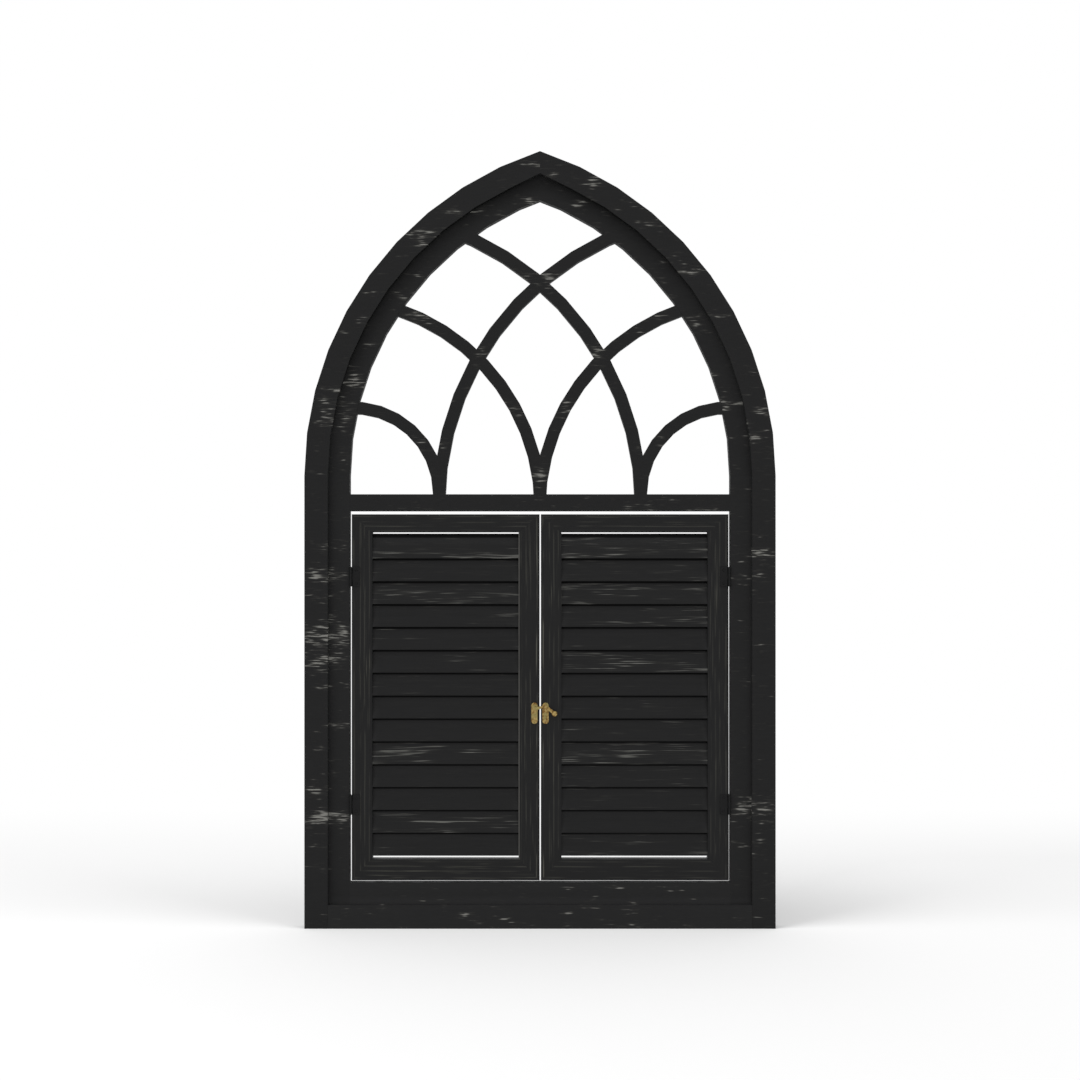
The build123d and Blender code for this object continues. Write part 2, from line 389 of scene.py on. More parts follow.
@dataclass(frozen=True)
class RubbedPaint:
    """Black paint whose face is rubbed through in short soft strokes inside listed patches.

    Attributes:
        name: The material's name.
        scuffs: The rubbed patches.
        seed: Shifts the pattern, so that neighbouring boards differ.
        tone: A factor on the plain paint's colour, painted light where it is above 1.
        rims: The strips of painted light and painted shade beside a casing's edge.
        wall: Where the side of a casing lies that faces the opening, which has painted shade behind its front.
        wall_depth: How far behind the casing's front that painted shade starts and is full, in metres.
        patch_heart: The wear in the middle of a patch.
        patch_fall: How much less it is at the edge of a patch.
        patch_most: The most wear that a place may have.
        bared: The share of the wood's colour where the paint is gone.
    """

    name: str
    scuffs: Tuple[Scuff, ...]
    seed: float
    tone: float = 1.0
    rims: Tuple[Rim, ...] = ()
    wall: Optional[Rim] = None
    wall_depth: Span = (0.1 * MM, 1.1 * MM)
    patch_heart: float = 1.35
    patch_fall: float = 0.8
    patch_most: float = 1.25
    bared: float = 0.63

    def base(self, tree: ShaderTree, place: Socket) -> Socket:
        """Give the paint where it isn't rubbed, with its painted light and painted shade.

        Args:
            tree: The material's tree.
            place: The object coordinates.

        Returns:
            The paint's colour.
        """
        # Painted light and painted shade: the board's lift, its rims and its casing's shaded side
        gains: List[Value] = [rim.gain(tree, place) for rim in self.rims]
        # Painted shade on the side of the casing that faces the opening
        if self.wall is not None:
            near, far = (CASING_FRONT + depth for depth in self.wall_depth)
            front = tree.smooth(tree.split(place)[1], near, far, 1.0, 0.0)
            gains.append(tree.maths("MAXIMUM", front, self.wall.gain(tree, place)))
        return tree.scaled(PAINT, self.tone, *gains)

    def patches(self, tree: ShaderTree, place: Socket) -> Socket:
        """Combine the patches into one mask.

        Args:
            tree: The material's tree.
            place: The object coordinates.

        Returns:
            The wear at the place, from 0 to patch_most.
        """
        mask: Value = 0.0
        for scuff in self.scuffs:
            width, height = scuff.half_width * MM, scuff.half_height * MM
            shrink = (1 / width, 0.0, 1 / height)
            shift = (-scuff.x * MM / width, 0.0, -scuff.z * MM / height)
            reach = tree.vector("LENGTH", tree.vector("MULTIPLY_ADD", place, shrink, shift))
            heart, fall = self.patch_heart * scuff.strength, self.patch_fall * scuff.strength
            mask = tree.maths("MAXIMUM", mask, tree.maths("MULTIPLY_ADD", reach, -fall, heart))
        return tree.maths("MINIMUM", mask, self.patch_most)

    def material(self) -> bpy.types.Material:
        """Build the material from short strokes, where a patch lets them through, and a faint grain.

        Returns:
            The material.
        """
        tree = ShaderTree(self.name)
        place = tree.place()
        offset = (self.seed, 2.3 * self.seed, 5.1 * self.seed)
        wear = self.patches(tree, place)
        strokes = tree.stretched(place, (62, 62, 470), offset, detail=1.5, roughness=0.45)
        drift = tree.stretched(place, (26, 26, 90), offset, detail=1.0)
        rubbed = tree.maths("MULTIPLY_ADD", wear, 0.24, tree.maths("MULTIPLY_ADD", drift, 0.35, strokes))
        amount = tree.smooth(rubbed, 0.94, 1.12)
        haze = tree.smooth(rubbed, 0.80, 1.02, 0.0, 0.45)
        paint = tree.mix(haze, self.base(tree, place), HAZE)
        colour = tree.mix(tree.maths("MULTIPLY", amount, self.bared), paint, BARE_WOOD)
        grain = tree.stretched(place, (14, 120, 620), offset, detail=2.0)
        height = tree.maths("SUBTRACT", tree.maths("MULTIPLY", grain, 0.4), amount)
        return tree.painted(colour, strokes, height)


@dataclass(frozen=True)
class StreakedPaint:
    """Black paint on a leaf member, worn in long fine lines that follow the member.

    Attributes:
        name: The material's name.
        grain: The way the member runs.
        outer_edge: Where its outer edge is, in metres, across the grain.
        width: Its width, in metres, with the sign that leads from the outer edge to the inner one.
        seed: Shifts the pattern.
        outer_line: The strength of the line beside the outer edge.
        arris: The wear added on the rounded edges.
        inner_line: The share of the inner edge that is worn to a light line.
        outer_middle: Where the outer line's middle lies across the member, from 0 at the outer edge to 1.
        inner_middles: The middles of the other lines, each with its strength.
        line_reach: How far from its middle a line is at its full strength, and where it ends, as shares of
            the member's width.
    """

    name: str
    grain: Grain
    outer_edge: float
    width: float
    seed: float
    outer_line: float
    arris: float
    # inner_line: The share of the inner edge that is drawn as a light line.
    inner_line: float
    outer_middle: float = 0.12
    inner_middles: Tuple[Span, ...] = ((0.44, 0.7), (0.66, 0.9), (0.90, 0.6))
    line_reach: Span = (0.010, 0.046)

    def lines(self, tree: ShaderTree, across: Socket) -> Socket:
        """Draw the lines that keep their distance from the outer edge.

        Args:
            tree: The material's tree.
            across: The place across the member, 0 at the outer edge and 1 at the inner one.

        Returns:
            The lines' strength.
        """
        total: Value = 0.0
        for middle, strength in ((self.outer_middle, self.outer_line), *self.inner_middles):
            away = tree.maths("ABSOLUTE", tree.maths("SUBTRACT", across, middle))
            total = tree.maths("MAXIMUM", total, tree.smooth(away, *self.line_reach, strength, 0.0))
        return total

    def material(self) -> bpy.types.Material:
        """Build the material from broken lines, fine streaks and a light inner edge.

        Returns:
            The material.
        """
        tree = ShaderTree(self.name)
        x, y, z = tree.split(tree.place())
        along, cross = (x, z) if self.grain is Grain.ALONG_X else (z, x)
        across = tree.maths("MULTIPLY_ADD", cross, 1 / self.width, -self.outer_edge / self.width)
        lay = tree.join(along, y, cross)
        offset = (self.seed, 1.7 * self.seed, 3.9 * self.seed)
        wander = tree.stretched(lay, (9, 9, 30), offset, detail=1.0)
        bent = tree.maths("MULTIPLY_ADD", tree.maths("SUBTRACT", wander, 0.5), 0.10, across)
        fine = tree.stretched(lay, (11, 40, 640), offset, detail=2.0, roughness=0.6)
        breaks = tree.stretched(lay, (24, 24, 160), offset, detail=1.0)
        line = tree.maths("MULTIPLY", self.lines(tree, bent), tree.smooth(breaks, 0.40, 0.64))
        streaks = tree.smooth(fine, 0.61, 0.80)
        amount = tree.maths("MULTIPLY_ADD", line, 0.145, tree.maths("MULTIPLY", streaks, 0.28))
        amount = tree.maths("ADD", amount, self.arris)
        colour = tree.mix(amount, PAINT, OLIVE_WOOD)
        inner, broken = tree.smooth(across, 0.99, 1.01), tree.smooth(breaks, 0.2, 0.5, 0.6, 1.0)
        edge = tree.maths("MULTIPLY", inner, broken)
        colour = tree.mix(tree.maths("MULTIPLY", edge, self.inner_line), colour, PALE_EDGE_LINE)
        height = tree.maths("SUBTRACT", tree.maths("MULTIPLY", fine, 0.5), amount)
        return tree.painted(colour, fine, height, (0.50, 0.64))


@dataclass(frozen=True)
class SlatPaint:
    """Black paint on the louvres, each worn by its own amount in long soft streaks near its top edge.

    Attributes:
        name: The material's name.
        half_length: Half the length of a slat that shows between the stiles, in metres.
        under: Where the painted light under the slat above starts and is full, up from a slat's middle, in
            metres.
        under_gain: How much lighter the painted light makes the paint there.
        aside: How far from a stile painted light makes the paint lighter, in metres.
        aside_gain: How much lighter it is at the stile.
        bared: The share of the wood's colour where the paint is gone.
        crevice: Where the painted shadow line below the slat above starts and is full, up from the middle, in
            metres.
    """

    name: str
    half_length: float
    under: Span = (-2.0 * MM, 16.0 * MM)
    under_gain: float = 2.8
    aside: float = 12.0 * MM
    aside_gain: float = 1.30
    bared: float = 0.42
    crevice: Span = (9.8 * MM, 11.2 * MM)

    def base(self, tree: ShaderTree, place: Socket) -> Socket:
        """Lighten the paint with painted light a little where the slat above and the stiles shade it.

        Args:
            tree: The material's tree.
            place: The place on the slat.

        Returns:
            The paint's colour.
        """
        x, _, z = tree.split(place)
        # Painted light: lighter paint under the slat above and beside the stiles
        under = tree.smooth(z, *self.under, 1.0, self.under_gain)
        start = self.half_length - self.aside
        beside = tree.smooth(tree.maths("ABSOLUTE", x), start, self.half_length, 1.0, self.aside_gain)
        return tree.scaled(PAINT, under, beside)

    def material(self) -> bpy.types.Material:
        """Build the material from streaks, patches, each slat's own level of wear, painted light and a painted
        shadow line.

        Returns:
            The material.
        """
        tree = ShaderTree(self.name)
        place = tree.attribute("slat_place").outputs["Vector"]
        level = tree.attribute("slat_wear").outputs["Fac"]
        seed = tree.attribute("slat_seed").outputs["Fac"]
        shift = tree.join(seed, tree.maths("MULTIPLY", seed, 3.1), tree.maths("MULTIPLY", seed, 7.7))
        height_on_slat = tree.split(place)[2]
        top = tree.smooth(height_on_slat, 2.0 * MM, 13.0 * MM)
        wander = tree.stretched(place, (9, 9, 20), shift, detail=1.0)
        bent = tree.vector("ADD", place, tree.join(0.0, 0.0, tree.maths("MULTIPLY", wander, 3.0 * MM)))
        streaks = tree.stretched(bent, (26, 26, 760), shift, detail=1.0)
        long_streaks = tree.stretched(bent, (7, 7, 900), shift)
        patches = tree.stretched(place, (13, 13, 110), shift, detail=1.0)
        rubbed = tree.maths("MULTIPLY_ADD", top, 0.05, tree.maths("MULTIPLY", streaks, 0.75))
        for part, weight in ((long_streaks, 0.48), (patches, 0.48), (level, 0.19)):
            rubbed = tree.maths("MULTIPLY_ADD", part, weight, rubbed)
        amount = tree.smooth(rubbed, 1.135, 1.30)
        haze = tree.smooth(rubbed, 1.00, 1.18, 0.0, 0.22)
        paint = tree.mix(haze, self.base(tree, place), HAZE)
        colour = tree.mix(tree.maths("MULTIPLY", amount, self.bared), paint, GREY_WOOD)
        # Painted shadow: a near-black line on each slat just below the edge of the slat above
        colour = tree.mix(tree.smooth(height_on_slat, *self.crevice), colour, CREVICE_SHADE)
        grain = tree.stretched(place, (14, 60, 620), shift, detail=2.0)
        height = tree.maths("SUBTRACT", tree.maths("MULTIPLY", grain, 0.4), amount)
        return tree.painted(colour, streaks, height)


@dataclass(frozen=True)
class BlackMetal:
    """Satin black enamel on small steel hardware, a little rubbed at random.

    Attributes:
        name: The material's name.
        enamel: The enamel's colour.
        rubbed: Its colour where it is thin.
        rubbed_share: The most that the second colour takes.
    """

    name: str
    enamel: Colour = (0.0035, 0.0035, 0.0037)
    rubbed: Colour = (0.030, 0.028, 0.026)
    rubbed_share: float = 0.35

    def material(self) -> bpy.types.Material:
        """Build the material.

        Returns:
            The material.
        """
        tree = ShaderTree(self.name)
        place = tree.place()
        cloud = tree.stretched(place, (180, 180, 180), (3.0, 1.0, 7.0), detail=2.0)
        pits = tree.stretched(place, (1500, 1500, 1500), (0.0, 4.0, 2.0), detail=1.0)
        share = tree.smooth(cloud, 0.62, 0.78, 0.0, self.rubbed_share)
        return tree.surface(
            Base_Color=tree.mix(share, self.enamel, self.rubbed),
            Roughness=tree.smooth(cloud, 0.3, 0.7, 0.38, 0.55),
            Specular_IOR_Level=0.18,
            Normal=tree.bump(pits, 0.25, 0.05 * MM),
        )


@dataclass(frozen=True)
class AntiqueBrass:
    """Mottled brass, pale where it is handled and brown where it has aged.

    Attributes:
        name: The material's name.
        brown: The colour of the lower blotches.
        pale: The colour of the raised ones.
        green: The colour of the wide patches over both, and its share there.
        speck: The colour of the dark specks, and its share there.
    """

    name: str
    brown: Colour = (0.185, 0.100, 0.024)
    pale: Colour = (0.415, 0.300, 0.110)
    green: Tuple[Colour, float] = ((0.270, 0.240, 0.090), 0.65)
    speck: Tuple[Colour, float] = ((0.080, 0.048, 0.018), 0.7)

    def material(self) -> bpy.types.Material:
        """Build the material.

        Returns:
            The material.
        """
        tree = ShaderTree(self.name)
        place = tree.place()
        blotch = tree.stretched(place, (330, 330, 330), (5.0, 2.0, 9.0), detail=3.0, roughness=0.6)
        speck = tree.stretched(place, (1100, 1100, 1100), (1.0, 8.0, 3.0), detail=1.0)
        patch = tree.stretched(place, (120, 120, 120), (7.0, 4.0, 1.0), detail=1.0)
        brass = tree.mix(tree.smooth(blotch, 0.38, 0.60), self.brown, self.pale)
        spots = ((patch, 0.50, 0.60, *self.green), (speck, 0.58, 0.72, *self.speck))
        for pattern, low, high, tint, share in spots:
            brass = tree.mix(tree.smooth(pattern, low, high, 0.0, share), brass, tint)
        return tree.surface(
            Base_Color=brass,
            Metallic=0.75,
            Roughness=tree.smooth(blotch, 0.3, 0.7, 0.48, 0.30),
            Normal=tree.bump(tree.maths("ADD", blotch, speck), 0.4, 0.15 * MM),
        )


def linked(name: str, data: bpy.types.ID) -> bpy.types.Object:
    """Put a new object into the scene.

    Args:
        name: The object's name.
        data: Its mesh, light or camera.

    Returns:
        The object, at the origin.
    """
    made = bpy.data.objects.new(name, data)
    bpy.context.scene.collection.objects.link(made)
    return made


class GeometryTree(NodeTree):
    """A Geometry Nodes tree that makes repeated shapes, turned into a plain mesh when it is used."""

    def __init__(self, name: str) -> None:
        """Start an empty tree.

        Args:
            name: The tree's name.
        """
        self.group = bpy.data.node_groups.new(name, "GeometryNodeTree")
        super().__init__(self.group)
        self.identifiers: Dict[str, str] = {}
        self.inputs = self.add("NodeGroupInput")
        self.add_input("Points", "NodeSocketGeometry")

    def add_input(self, name: str, kind: str) -> Socket:
        """Add a named input.

        Args:
            name: The input's name.
            kind: Its socket type.

        Returns:
            The socket that carries it inside the tree.
        """
        item = self.group.interface.new_socket(name=name, in_out="INPUT", socket_type=kind)
        self.identifiers[name] = item.identifier
        return self.inputs.outputs[item.identifier]

    def node(self, kind: str, settings: Optional[Dict[str, object]] = None,
             **inputs: Value) -> bpy.types.Node:
        """Add a node and feed its inputs by name.

        Args:
            kind: The node's Blender type.
            settings: Properties to set on it.
            inputs: Links or values by input name, with underscores for spaces.

        Returns:
            The new node.
        """
        node = self.add(kind, **(settings or {}))
        for name, value in inputs.items():
            self.feed(next(s for s in node.inputs if s.name == name.replace("_", " ") and s.enabled), value)
        return node

    def first(self, kind: str, settings: Optional[Dict[str, object]] = None, **inputs: Value) -> Socket:
        """Add a node as node() does and take its first output."""
        return self.node(kind, settings, **inputs).outputs[0]

    def finish(self, instances: Socket) -> None:
        """Close the tree: make the copies real and give them the chosen material.

        Args:
            instances: The repeated shapes.
        """
        material = self.add_input("Material", "NodeSocketMaterial")
        self.group.interface.new_socket(name="Shapes", in_out="OUTPUT", socket_type="NodeSocketGeometry")
        real = self.first("GeometryNodeRealizeInstances", Geometry=instances)
        painted = self.first("GeometryNodeSetMaterial", Geometry=real, Material=material)
        self.add("NodeGroupOutput", painted)

    def make(self, name: str, points: Sequence[Sequence[float]], material: bpy.types.Material,
             **values: object) -> bpy.types.Object:
        """Run the tree on some points and keep the result as a plain mesh.

        Args:
            name: The new object's name.
            points: The points handed to the tree, in metres.
            material: The finish of the repeated shapes.
            values: The other named inputs.

        Returns:
            The object, with no modifier left on it.
        """
        mesh = bpy.data.meshes.new(name + ".points")
        mesh.from_pydata([tuple(p) for p in points], [], [])
        piece = linked(name, mesh)
        modifier = piece.modifiers.new("shapes", "NODES")
        modifier.node_group = self.group
        modifier[self.identifiers["Material"]] = material
        for key, value in values.items():
            modifier[self.identifiers[key]] = value
        graph = bpy.context.evaluated_depsgraph_get()
        result = bpy.data.meshes.new_from_object(piece.evaluated_get(graph), depsgraph=graph)
        piece.modifiers.clear()
        piece.data = result
        result.name = name
        result.materials.clear()
        result.materials.append(material)
        return piece


def slat_tree() -> GeometryTree:
    """Build the tree that stacks the louvres of one leaf.

    Returns:
        The tree. Its points input isn't used; the slats stand on a line that starts at Start.
    """
    tree = GeometryTree("louvre_stack")
    length, width, thickness, arris, tilt, pitch = (
        tree.add_input(name, "NodeSocketFloat")
        for name in ("Half Length", "Width", "Thickness", "Arris", "Tilt", "Pitch")
    )
    count = tree.add_input("Count", "NodeSocketInt")
    start = tree.add_input("Start", "NodeSocketVector")
    left, right = tree.join(tree.maths("MULTIPLY", length, -1.0)), tree.join(length)
    line = tree.first("GeometryNodeCurvePrimitiveLine", Start=left, End=right)
    section = tree.first("GeometryNodeCurvePrimitiveQuadrilateral", Width=thickness, Height=width)
    rounded = tree.first("GeometryNodeFilletCurve", {"mode": "POLY"}, Curve=section, Radius=arris, Count=2)
    slat = tree.first("GeometryNodeCurveToMesh", Curve=line, Profile_Curve=rounded, Fill_Caps=True)
    position = tree.first("GeometryNodeInputPosition")
    depth = tree.node("ShaderNodeSeparateXYZ", Vector=position).outputs["Y"]
    rise = tree.maths("MULTIPLY", depth, tree.maths("TANGENT", tilt))
    level = tree.join(z=tree.maths("MULTIPLY", rise, -1.0))
    levelled = tree.first("GeometryNodeSetPosition", Geometry=slat, Offset=level)
    marked = tree.first("GeometryNodeStoreNamedAttribute", {"data_type": "FLOAT_VECTOR", "domain": "POINT"},
                        Geometry=levelled, Name="slat_place", Value=position)
    tilted = tree.first("GeometryNodeTransform", Geometry=marked, Rotation=tree.join(tilt))
    stack = tree.first("GeometryNodeMeshLine", Count=count, Start_Location=start, Offset=tree.join(z=pitch))
    copies = tree.first("GeometryNodeInstanceOnPoints", Points=stack, Instance=tilted)
    numbered = tree.first("GeometryNodeStoreNamedAttribute", {"data_type": "INT", "domain": "INSTANCE"},
                          Geometry=copies, Name="slat_index", Value=tree.first("GeometryNodeInputIndex"))
    tree.finish(numbered)
    return tree


# The facets of a screw head or a washer, the share of a head's radius at its face, and its slot's size
ROUND_FACETS = 24
SCREW_FACE = 0.82
SCREW_SLOT = (10.0 * MM, 0.5 * MM, 0.5 * MM)


def screw_tree() -> GeometryTree:
    """Build the tree that sets a slotted screw head, turned at random, on each point of a front face.

    Returns:
        The tree.
    """
    tree = GeometryTree("screw_heads")
    radius, height = (tree.add_input(name, "NodeSocketFloat") for name in ("Radius", "Height"))
    seed = tree.add_input("Seed", "NodeSocketInt")
    face = tree.maths("MULTIPLY", radius, SCREW_FACE)
    head = tree.first("GeometryNodeMeshCone", Vertices=ROUND_FACETS, Radius_Top=face, Radius_Bottom=radius,
                      Depth=height)
    slot = tree.first("GeometryNodeMeshCube", Size=tree.join(*SCREW_SLOT))
    lifted = tree.first("GeometryNodeTransform", Geometry=slot, Translation=tree.join(z=height))
    cut = tree.add("GeometryNodeMeshBoolean", head, lifted, operation="DIFFERENCE").outputs[0]
    spin = tree.node("FunctionNodeRandomValue", {"data_type": "FLOAT"}, Seed=seed, Min=0.0, Max=pi).outputs[1]
    copies = tree.first("GeometryNodeInstanceOnPoints", Points=tree.inputs.outputs[0], Instance=cut,
                        Rotation=tree.join(pi / 2, spin))
    tree.finish(copies)
    return tree


# For the solids' meshes: how near two points are one, in metres, and the turn of an edge, in degrees, below
# which it is dissolved, from which it is rounded, and up to which a smooth skin runs over it
ONE_POINT = 0.001 * MM
FLAT_TURN = 0.5
SHARP_TURN = 30.0
SMOOTH_TURN = 32.0
# How near the wall's plane and how near a neighbour's face an edge stays sharp, in metres
NEAR_WALL = 0.1 * MM
NEAR_NEIGHBOUR = 0.1 * MM


def merged_copy(node: str, name: str) -> bpy.types.Object:
    """Copy a CAD node with its seams closed and its flat faces whole.

    Args:
        node: The CAD node.
        name: The copy's name.

    Returns:
        The copy, at the origin.
    """
    shape = bmesh.new()
    shape.from_mesh(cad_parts[node].data)
    bmesh.ops.remove_doubles(shape, verts=shape.verts, dist=ONE_POINT)
    bmesh.ops.dissolve_limit(shape, angle_limit=radians(FLAT_TURN), verts=shape.verts, edges=shape.edges)
    mesh = bpy.data.meshes.new(name)
    shape.to_mesh(mesh)
    shape.free()
    return linked(name, mesh)


def neighbours(node: str, near: Iterable[str]) -> BVHTree:
    """Gather the meshes of other CAD nodes for distance tests.

    Args:
        node: The node that is left out.
        near: The nodes to look at.

    Returns:
        A tree of their faces.
    """
    points: List[Vector] = []
    faces: List[Tuple[int, ...]] = []
    for other in near:
        if other == node:
            continue
        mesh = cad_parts[other].data
        start = len(points)
        points.extend(v.co.copy() for v in mesh.vertices)
        faces.extend(tuple(start + i for i in p.vertices) for p in mesh.polygons)
    return BVHTree.FromPolygons(points, faces)


def soften(piece: bpy.types.Object, radius: float, touching: BVHTree, segments: int) -> None:
    """Round the sharp outer edges of a piece, but not those on the wall side or against a neighbour.

    Args:
        piece: The piece, whose rounded edges take its second material slot.
        radius: The width of the rounding, in metres.
        touching: The neighbours' faces.
        segments: The facets of the rounding.
    """
    shape = bmesh.new()
    shape.from_mesh(piece.data)
    chosen = []
    for edge in shape.edges:
        if len(edge.link_faces) != 2 or edge.calc_face_angle(0.0) < radians(SHARP_TURN):
            continue
        if min(v.co.y for v in edge.verts) > -NEAR_WALL:
            continue
        middle = (edge.verts[0].co + edge.verts[1].co) / 2
        if edge.is_convex and touching.find_nearest(middle, NEAR_NEIGHBOUR)[0] is None:
            chosen.append(edge)
    bmesh.ops.bevel(shape, geom=chosen, offset=radius, offset_type="OFFSET", segments=segments, profile=0.5,
                    affect="EDGES", clamp_overlap=True, material=1)
    bmesh.ops.recalc_face_normals(shape, faces=shape.faces)
    shape.to_mesh(piece.data)
    shape.free()


@dataclass
class Part:
    """One piece of the window that stands for one CAD node.

    Attributes:
        node: The CAD node.
        body: The body it rides on.
        slot: Its material slot; not used.
        finishes: The material of its faces, and then that of its rounded edges if it has its own.
        rounding: The width of its rounded edges, in millimetres.
        adjust: What is done to its mesh before its edges are rounded.
    """

    node: str
    body: Body
    slot: Slot
    finishes: Tuple[bpy.types.Material, ...]
    rounding: float = 0.45
    adjust: Optional[Callable[[bpy.types.Mesh], None]] = None

    def build(self, near: Iterable[str], smooth: bool = False, segments: int = 2) -> None:
        """Make the piece and hand it to the frame.

        Args:
            near: The CAD nodes whose faces its joints may lie on.
            smooth: Whether its surface is shaded as one smooth skin.
            segments: The facets of its rounded edges.
        """
        piece = merged_copy(self.node, self.node + "_piece")
        mesh = piece.data
        if self.adjust is not None:
            self.adjust(mesh)
        soften(piece, self.rounding * MM, neighbours(self.node, near), segments)
        mesh.materials.clear()
        for finish in (self.finishes[0], self.finishes[-1]):
            mesh.materials.append(finish)
        if smooth:
            mesh.shade_smooth()
            mesh.set_sharp_from_angle(angle=radians(SMOOTH_TURN))
        else:
            mesh.shade_flat()
        settle(piece, self.body, (self.node,))
        LOG.info("%s: %d faces", piece.name, len(mesh.polygons))


def settle(piece: bpy.types.Object, body: Body, nodes: Sequence[str] = ()) -> None:
    """Hand a finished piece to the frame.

    Args:
        piece: The piece.
        body: The body it rides on.
        nodes: The CAD nodes it stands for.
    """
    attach(piece, body.value)
    if nodes:
        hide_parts(*nodes)


def scuffs(*rows: Tuple[float, ...]) -> Tuple[Scuff, ...]:
    """Make rubbed patches from the rows of a table."""
    return tuple(Scuff(*row) for row in rows)


# Placed: x, z, half width, half height, strength
LEFT_JAMB_SCUFFS = scuffs(
    (-275, 467, 26, 9, 0.59), (-278, 428, 30, 9, 1.17), (-280, 404, 24, 8, 0.65),
    (-275, 352, 34, 20, 1.04), (-280, 320, 30, 16, 1.04), (-275, 285, 24, 5, 0.65),
    (-262, 233, 20, 5, 1.04), (-288, 226, 12, 3, 0.78), (-285, 203, 10, 3, 0.65),
    (-270, 171, 14, 5, 0.65), (-290, 150, 14, 9, 0.91), (-276, 113, 34, 10, 1.3),
    (-290, 78, 12, 3, 1.17), (-280, 46, 10, 5, 0.65),
)
RIGHT_JAMB_SCUFFS = scuffs(
    (272, 482, 20, 5, 0.6), (280, 458, 24, 9, 0.8), (270, 425, 24, 7, 0.45), (268, 294, 18, 3, 0.6),
    (276, 127, 30, 15, 1.0), (280, 86, 26, 14, 0.4), (284, 8, 12, 4, 0.5),
)
LEFT_ARCH_CASING_SCUFFS = scuffs(
    (-14, 960, 12, 4, 0.8), (-109, 901, 20, 7, 0.8), (-148, 872, 27, 10, 0.8), (-152, 856, 14, 5, 0.8),
    (-185, 840, 9, 4, 0.8), (-219, 793, 11, 4, 0.8), (-228, 760, 10, 4, 0.8), (-270, 669, 15, 5, 0.85),
    (-277, 643, 20, 22, 0.76), (-285, 596, 7, 9, 0.56),
)
LEFT_ARCH_SCUFFS = scuffs(
    (-81, 901, 30, 7, 0.8), (-12, 914, 24, 8, 0.85), (-160, 817, 18, 4, 0.75), (-178, 791, 14, 8, 0.75),
    (-192, 766, 10, 4, 0.7), (-220, 727, 12, 5, 0.9), (-242, 680, 18, 14, 0.9), (-255, 660, 8, 4, 0.8),
    (-252, 634, 12, 22, 0.8), (-252, 592, 9, 12, 0.6),
)
RIGHT_ARCH_CASING_SCUFFS = scuffs(
    (16, 947, 12, 4, 0.8), (43, 944, 10, 3, 0.8), (70, 940, 11, 10, 0.65), (118, 910, 10, 3, 0.6),
    (97, 903, 10, 3, 0.6), (138, 884, 16, 7, 0.85), (194, 821, 18, 10, 0.75), (232, 763, 15, 4, 1.1),
    (274, 698, 10, 4, 0.9), (280, 689, 8, 3, 0.5), (290, 659, 8, 3, 0.7), (283, 641, 18, 9, 1.1),
    (262, 623, 14, 7, 1.0), (280, 608, 14, 10, 1.0),
)
RIGHT_ARCH_SCUFFS = scuffs(
    (43, 911, 16, 4, 0.8), (75, 882, 10, 4, 0.5), (153, 816, 12, 6, 0.5), (168, 795, 8, 5, 0.5),
    (198, 762, 14, 4, 0.9), (205, 752, 11, 6, 0.8), (228, 734, 8, 5, 0.4), (229, 688, 9, 7, 0.85),
    (238, 664, 10, 4, 0.6), (243, 649, 14, 8, 0.95), (262, 652, 8, 4, 0.7), (248, 606, 8, 3, 0.6),
)
TRACERY_SCUFFS = scuffs(
    (12, 812, 24, 14, 1.0), (-24, 816, 14, 10, 0.7), (-152, 765, 22, 8, 0.85), (-75, 716, 12, 16, 0.75),
    (-32, 643, 14, 13, 0.75), (-151, 601, 12, 10, 0.75), (-127, 593, 7, 10, 0.6),
    (0, 556, 10, 20, 0.85), (71, 714, 12, 17, 1.0), (31, 645, 13, 13, 0.95), (153, 763, 20, 8, 0.6),
    (127, 750, 10, 6, 0.5), (176, 773, 14, 6, 0.5), (153, 602, 12, 10, 0.8), (127, 593, 7, 7, 0.7),
    (96, 676, 8, 10, 0.4),
)
TRANSOM_SCUFFS = scuffs(
    (204, 513, 34, 3, 0.65), (134, 516, 22, 5, 0.7), (171, 526, 14, 4, 0.65), (-150, 514, 50, 3, 0.4),
    (60, 529, 20, 3, 0.4),
)
BOTTOM_SCUFFS = scuffs(
    (102, 23, 24, 3, 1.0), (34, 21, 12, 3, 0.8), (168, 22, 20, 5, 0.5), (124, 1, 13, 9, 0.75),
    (68, 4, 12, 9, 0.65), (35, -8, 10, 3, 1.0), (41, -23, 10, 3, 0.8), (124, -25, 22, 4, 0.75),
    (192, -26, 10, 3, 0.6), (-96, -11, 12, 4, 0.75), (-112, -11, 8, 3, 0.7), (-93, 1, 8, 3, 0.6),
    (-125, 2, 6, 8, 0.6), (-83, -21, 10, 5, 0.65), (-50, -16, 16, 5, 0.4), (-203, -3, 7, 6, 0.7),
    (-177, -28, 12, 3, 0.6), (-15, -20, 12, 4, 0.5),
)

FRAME_WOOD_NODES = (
    "left_jamb", "right_jamb", "left_arch_board", "right_arch_board", "bottom_rail", "transom", "tracery",
    "left_casing", "right_casing", "left_arch_casing", "right_arch_casing", "bottom_casing",
)


